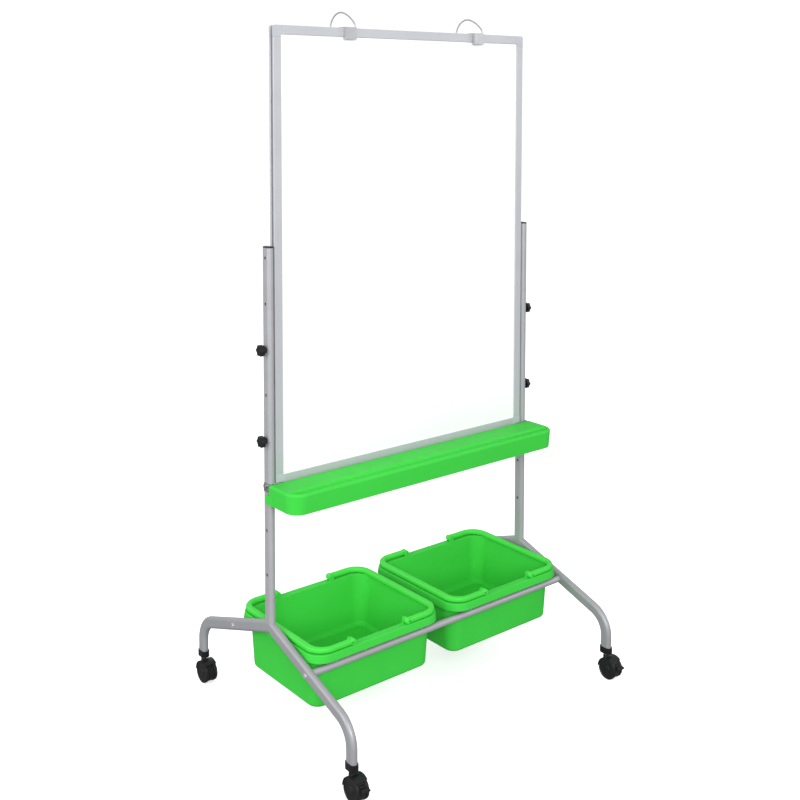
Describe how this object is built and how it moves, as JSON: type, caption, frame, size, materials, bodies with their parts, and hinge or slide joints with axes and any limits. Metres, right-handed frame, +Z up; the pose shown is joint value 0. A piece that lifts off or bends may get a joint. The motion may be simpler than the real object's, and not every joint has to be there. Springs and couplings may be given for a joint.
{
  "type": "mobile easel",
  "caption": "Rolling easel: a tall white board on silver uprights that slides up and down, a green pen tray, green lift-out tubs on cross rails and black casters.",
  "frame": {"origin": "on the floor, under the centre of the whole easel's footprint", "axes": "+Z up, +X to the right of someone facing the front, the front (pen tray) faces -Y"},
  "size_m": [0.821, 0.6654, 1.5985],
  "materials": {
    "silver": "satin",
    "frame_aluminium": "satin",
    "white_board": "gloss",
    "core": "matte",
    "green_plastic": "satin",
    "black_plastic": "matte",
    "wheel_plastic": "matte",
    "grey_plastic": "matte",
    "steel": "satin",
    "bright_metal": "gloss"
  },
  "bodies": {
    "stand": {"left_upright": "silver", "right_upright": "silver", "left_front_leg": "silver", "left_rear_leg": "silver", "right_front_leg": "silver", "right_rear_leg": "silver", "upright_caps": "black_plastic", "front_rail": "silver", "rear_rail": "silver", "rail_inserts": "steel", "rail_bolts": "steel", "pen_tray": "green_plastic", "tray_brackets": "steel", "tray_bolts": "steel", "tray_nuts": "steel", "tray_screws": "steel", "caster_sockets": "black_plastic", "caster_stems": "steel", "slide_nuts": "steel"},
    "board": {"board_core": "core", "front_panel": "white_board", "rear_panel": "white_board", "frame_top": "frame_aluminium", "frame_bottom": "frame_aluminium", "frame_left": "frame_aluminium", "frame_right": "frame_aluminium", "frame_corners": "grey_plastic"},
    "left_hook": {"left_hook_clip": "bright_metal", "left_hook_ring": "bright_metal"},
    "right_hook": {"right_hook_clip": "bright_metal", "right_hook_ring": "bright_metal"},
    "left_upper_knob_set": {"left_upper_knob": "black_plastic", "left_upper_stud": "steel"},
    "left_lower_knob_set": {"left_lower_knob": "black_plastic", "left_lower_stud": "steel"},
    "right_upper_knob_set": {"right_upper_knob": "black_plastic", "right_upper_stud": "steel"},
    "right_lower_knob_set": {"right_lower_knob": "black_plastic", "right_lower_stud": "steel"},
    "left_front_swivel": {"left_front_housing": "black_plastic"},
    "left_front_wheel_set": {"left_front_axle": "steel", "left_front_wheels": "wheel_plastic"},
    "left_front_brake_lever": {"left_front_brake": "black_plastic"},
    "left_rear_swivel": {"left_rear_housing": "black_plastic"},
    "left_rear_wheel_set": {"left_rear_axle": "steel", "left_rear_wheels": "wheel_plastic"},
    "right_front_swivel": {"right_front_housing": "black_plastic"},
    "right_front_wheel_set": {"right_front_axle": "steel", "right_front_wheels": "wheel_plastic"},
    "right_front_brake_lever": {"right_front_brake": "black_plastic"},
    "right_rear_swivel": {"right_rear_housing": "black_plastic"},
    "right_rear_wheel_set": {"right_rear_axle": "steel", "right_rear_wheels": "wheel_plastic"},
    "left_tub_body": {"left_tub": "green_plastic"},
    "left_tub_left_bail": {"left_tub_left_handle": "green_plastic"},
    "left_tub_right_bail": {"left_tub_right_handle": "green_plastic"},
    "right_tub_body": {"right_tub": "green_plastic"},
    "right_tub_left_bail": {"right_tub_left_handle": "green_plastic"},
    "right_tub_right_bail": {"right_tub_right_handle": "green_plastic"}
  },
  "joints": [
    {"name": "board_height", "type": "slide", "parent": "stand", "child": "board", "axis": [0, 0, 1], "range_m": [0, 0.2]},
    {"name": "left_hook_slide", "type": "slide", "parent": "board", "child": "left_hook", "axis": [1, 0, 0], "range_m": [-0.155, 0.157]},
    {"name": "right_hook_slide", "type": "slide", "parent": "board", "child": "right_hook", "axis": [1, 0, 0], "range_m": [-0.193, 0.107]},
    {"name": "left_upper_knob_turn", "type": "hinge", "parent": "stand", "child": "left_upper_knob_set", "pos_m": [-0.385, 0.017, 0.859], "axis": [1, 0, 0], "continuous": true},
    {"name": "left_lower_knob_turn", "type": "hinge", "parent": "stand", "child": "left_lower_knob_set", "pos_m": [-0.385, 0.017, 0.659], "axis": [1, 0, 0], "continuous": true},
    {"name": "right_upper_knob_turn", "type": "hinge", "parent": "stand", "child": "right_upper_knob_set", "pos_m": [0.385, 0.017, 0.859], "axis": [1, 0, 0], "continuous": true},
    {"name": "right_lower_knob_turn", "type": "hinge", "parent": "stand", "child": "right_lower_knob_set", "pos_m": [0.385, 0.017, 0.659], "axis": [1, 0, 0], "continuous": true},
    {"name": "left_front_caster_swivel", "type": "hinge", "parent": "stand", "child": "left_front_swivel", "pos_m": [-0.385, -0.283, 0.05], "axis": [0, 0, 1], "continuous": true},
    {"name": "left_front_wheel_spin", "type": "hinge", "parent": "left_front_swivel", "child": "left_front_wheel_set", "pos_m": [-0.385, -0.298, 0.025], "axis": [1, 0, 0], "continuous": true},
    {"name": "left_front_brake_press", "type": "hinge", "parent": "left_front_swivel", "child": "left_front_brake_lever", "pos_m": [-0.385, -0.31619, 0.0355], "axis": [1, 0, 0], "range_deg": [0, 20]},
    {"name": "left_rear_caster_swivel", "type": "hinge", "parent": "stand", "child": "left_rear_swivel", "pos_m": [-0.385, 0.317, 0.05], "axis": [0, 0, 1], "continuous": true},
    {"name": "left_rear_wheel_spin", "type": "hinge", "parent": "left_rear_swivel", "child": "left_rear_wheel_set", "pos_m": [-0.385, 0.302, 0.025], "axis": [1, 0, 0], "continuous": true},
    {"name": "right_front_caster_swivel", "type": "hinge", "parent": "stand", "child": "right_front_swivel", "pos_m": [0.385, -0.283, 0.05], "axis": [0, 0, 1], "continuous": true},
    {"name": "right_front_wheel_spin", "type": "hinge", "parent": "right_front_swivel", "child": "right_front_wheel_set", "pos_m": [0.385, -0.298, 0.025], "axis": [1, 0, 0], "continuous": true},
    {"name": "right_front_brake_press", "type": "hinge", "parent": "right_front_swivel", "child": "right_front_brake_lever", "pos_m": [0.385, -0.31619, 0.0355], "axis": [1, 0, 0], "range_deg": [0, 20]},
    {"name": "right_rear_caster_swivel", "type": "hinge", "parent": "stand", "child": "right_rear_swivel", "pos_m": [0.385, 0.317, 0.05], "axis": [0, 0, 1], "continuous": true},
    {"name": "right_rear_wheel_spin", "type": "hinge", "parent": "right_rear_swivel", "child": "right_rear_wheel_set", "pos_m": [0.385, 0.302, 0.025], "axis": [1, 0, 0], "continuous": true},
    {"name": "left_tub_lift", "type": "slide", "parent": "stand", "child": "left_tub_body", "axis": [0, 0, 1], "range_m": [0, 0.15]},
    {"name": "left_tub_left_handle_swing", "type": "hinge", "parent": "left_tub_body", "child": "left_tub_left_bail", "pos_m": [-0.273, 0.017, 0.231], "axis": [0, 1, 0], "range_deg": [0, 120]},
    {"name": "left_tub_right_handle_swing", "type": "hinge", "parent": "left_tub_body", "child": "left_tub_right_bail", "pos_m": [-0.119, 0.017, 0.231], "axis": [0, -1, 0], "range_deg": [0, 120]},
    {"name": "right_tub_lift", "type": "slide", "parent": "stand", "child": "right_tub_body", "axis": [0, 0, 1], "range_m": [0, 0.15]},
    {"name": "right_tub_left_handle_swing", "type": "hinge", "parent": "right_tub_body", "child": "right_tub_left_bail", "pos_m": [0.119, 0.017, 0.231], "axis": [0, 1, 0], "range_deg": [0, 120]},
    {"name": "right_tub_right_handle_swing", "type": "hinge", "parent": "right_tub_body", "child": "right_tub_right_bail", "pos_m": [0.273, 0.017, 0.231], "axis": [0, -1, 0], "range_deg": [0, 120]}
  ]
}
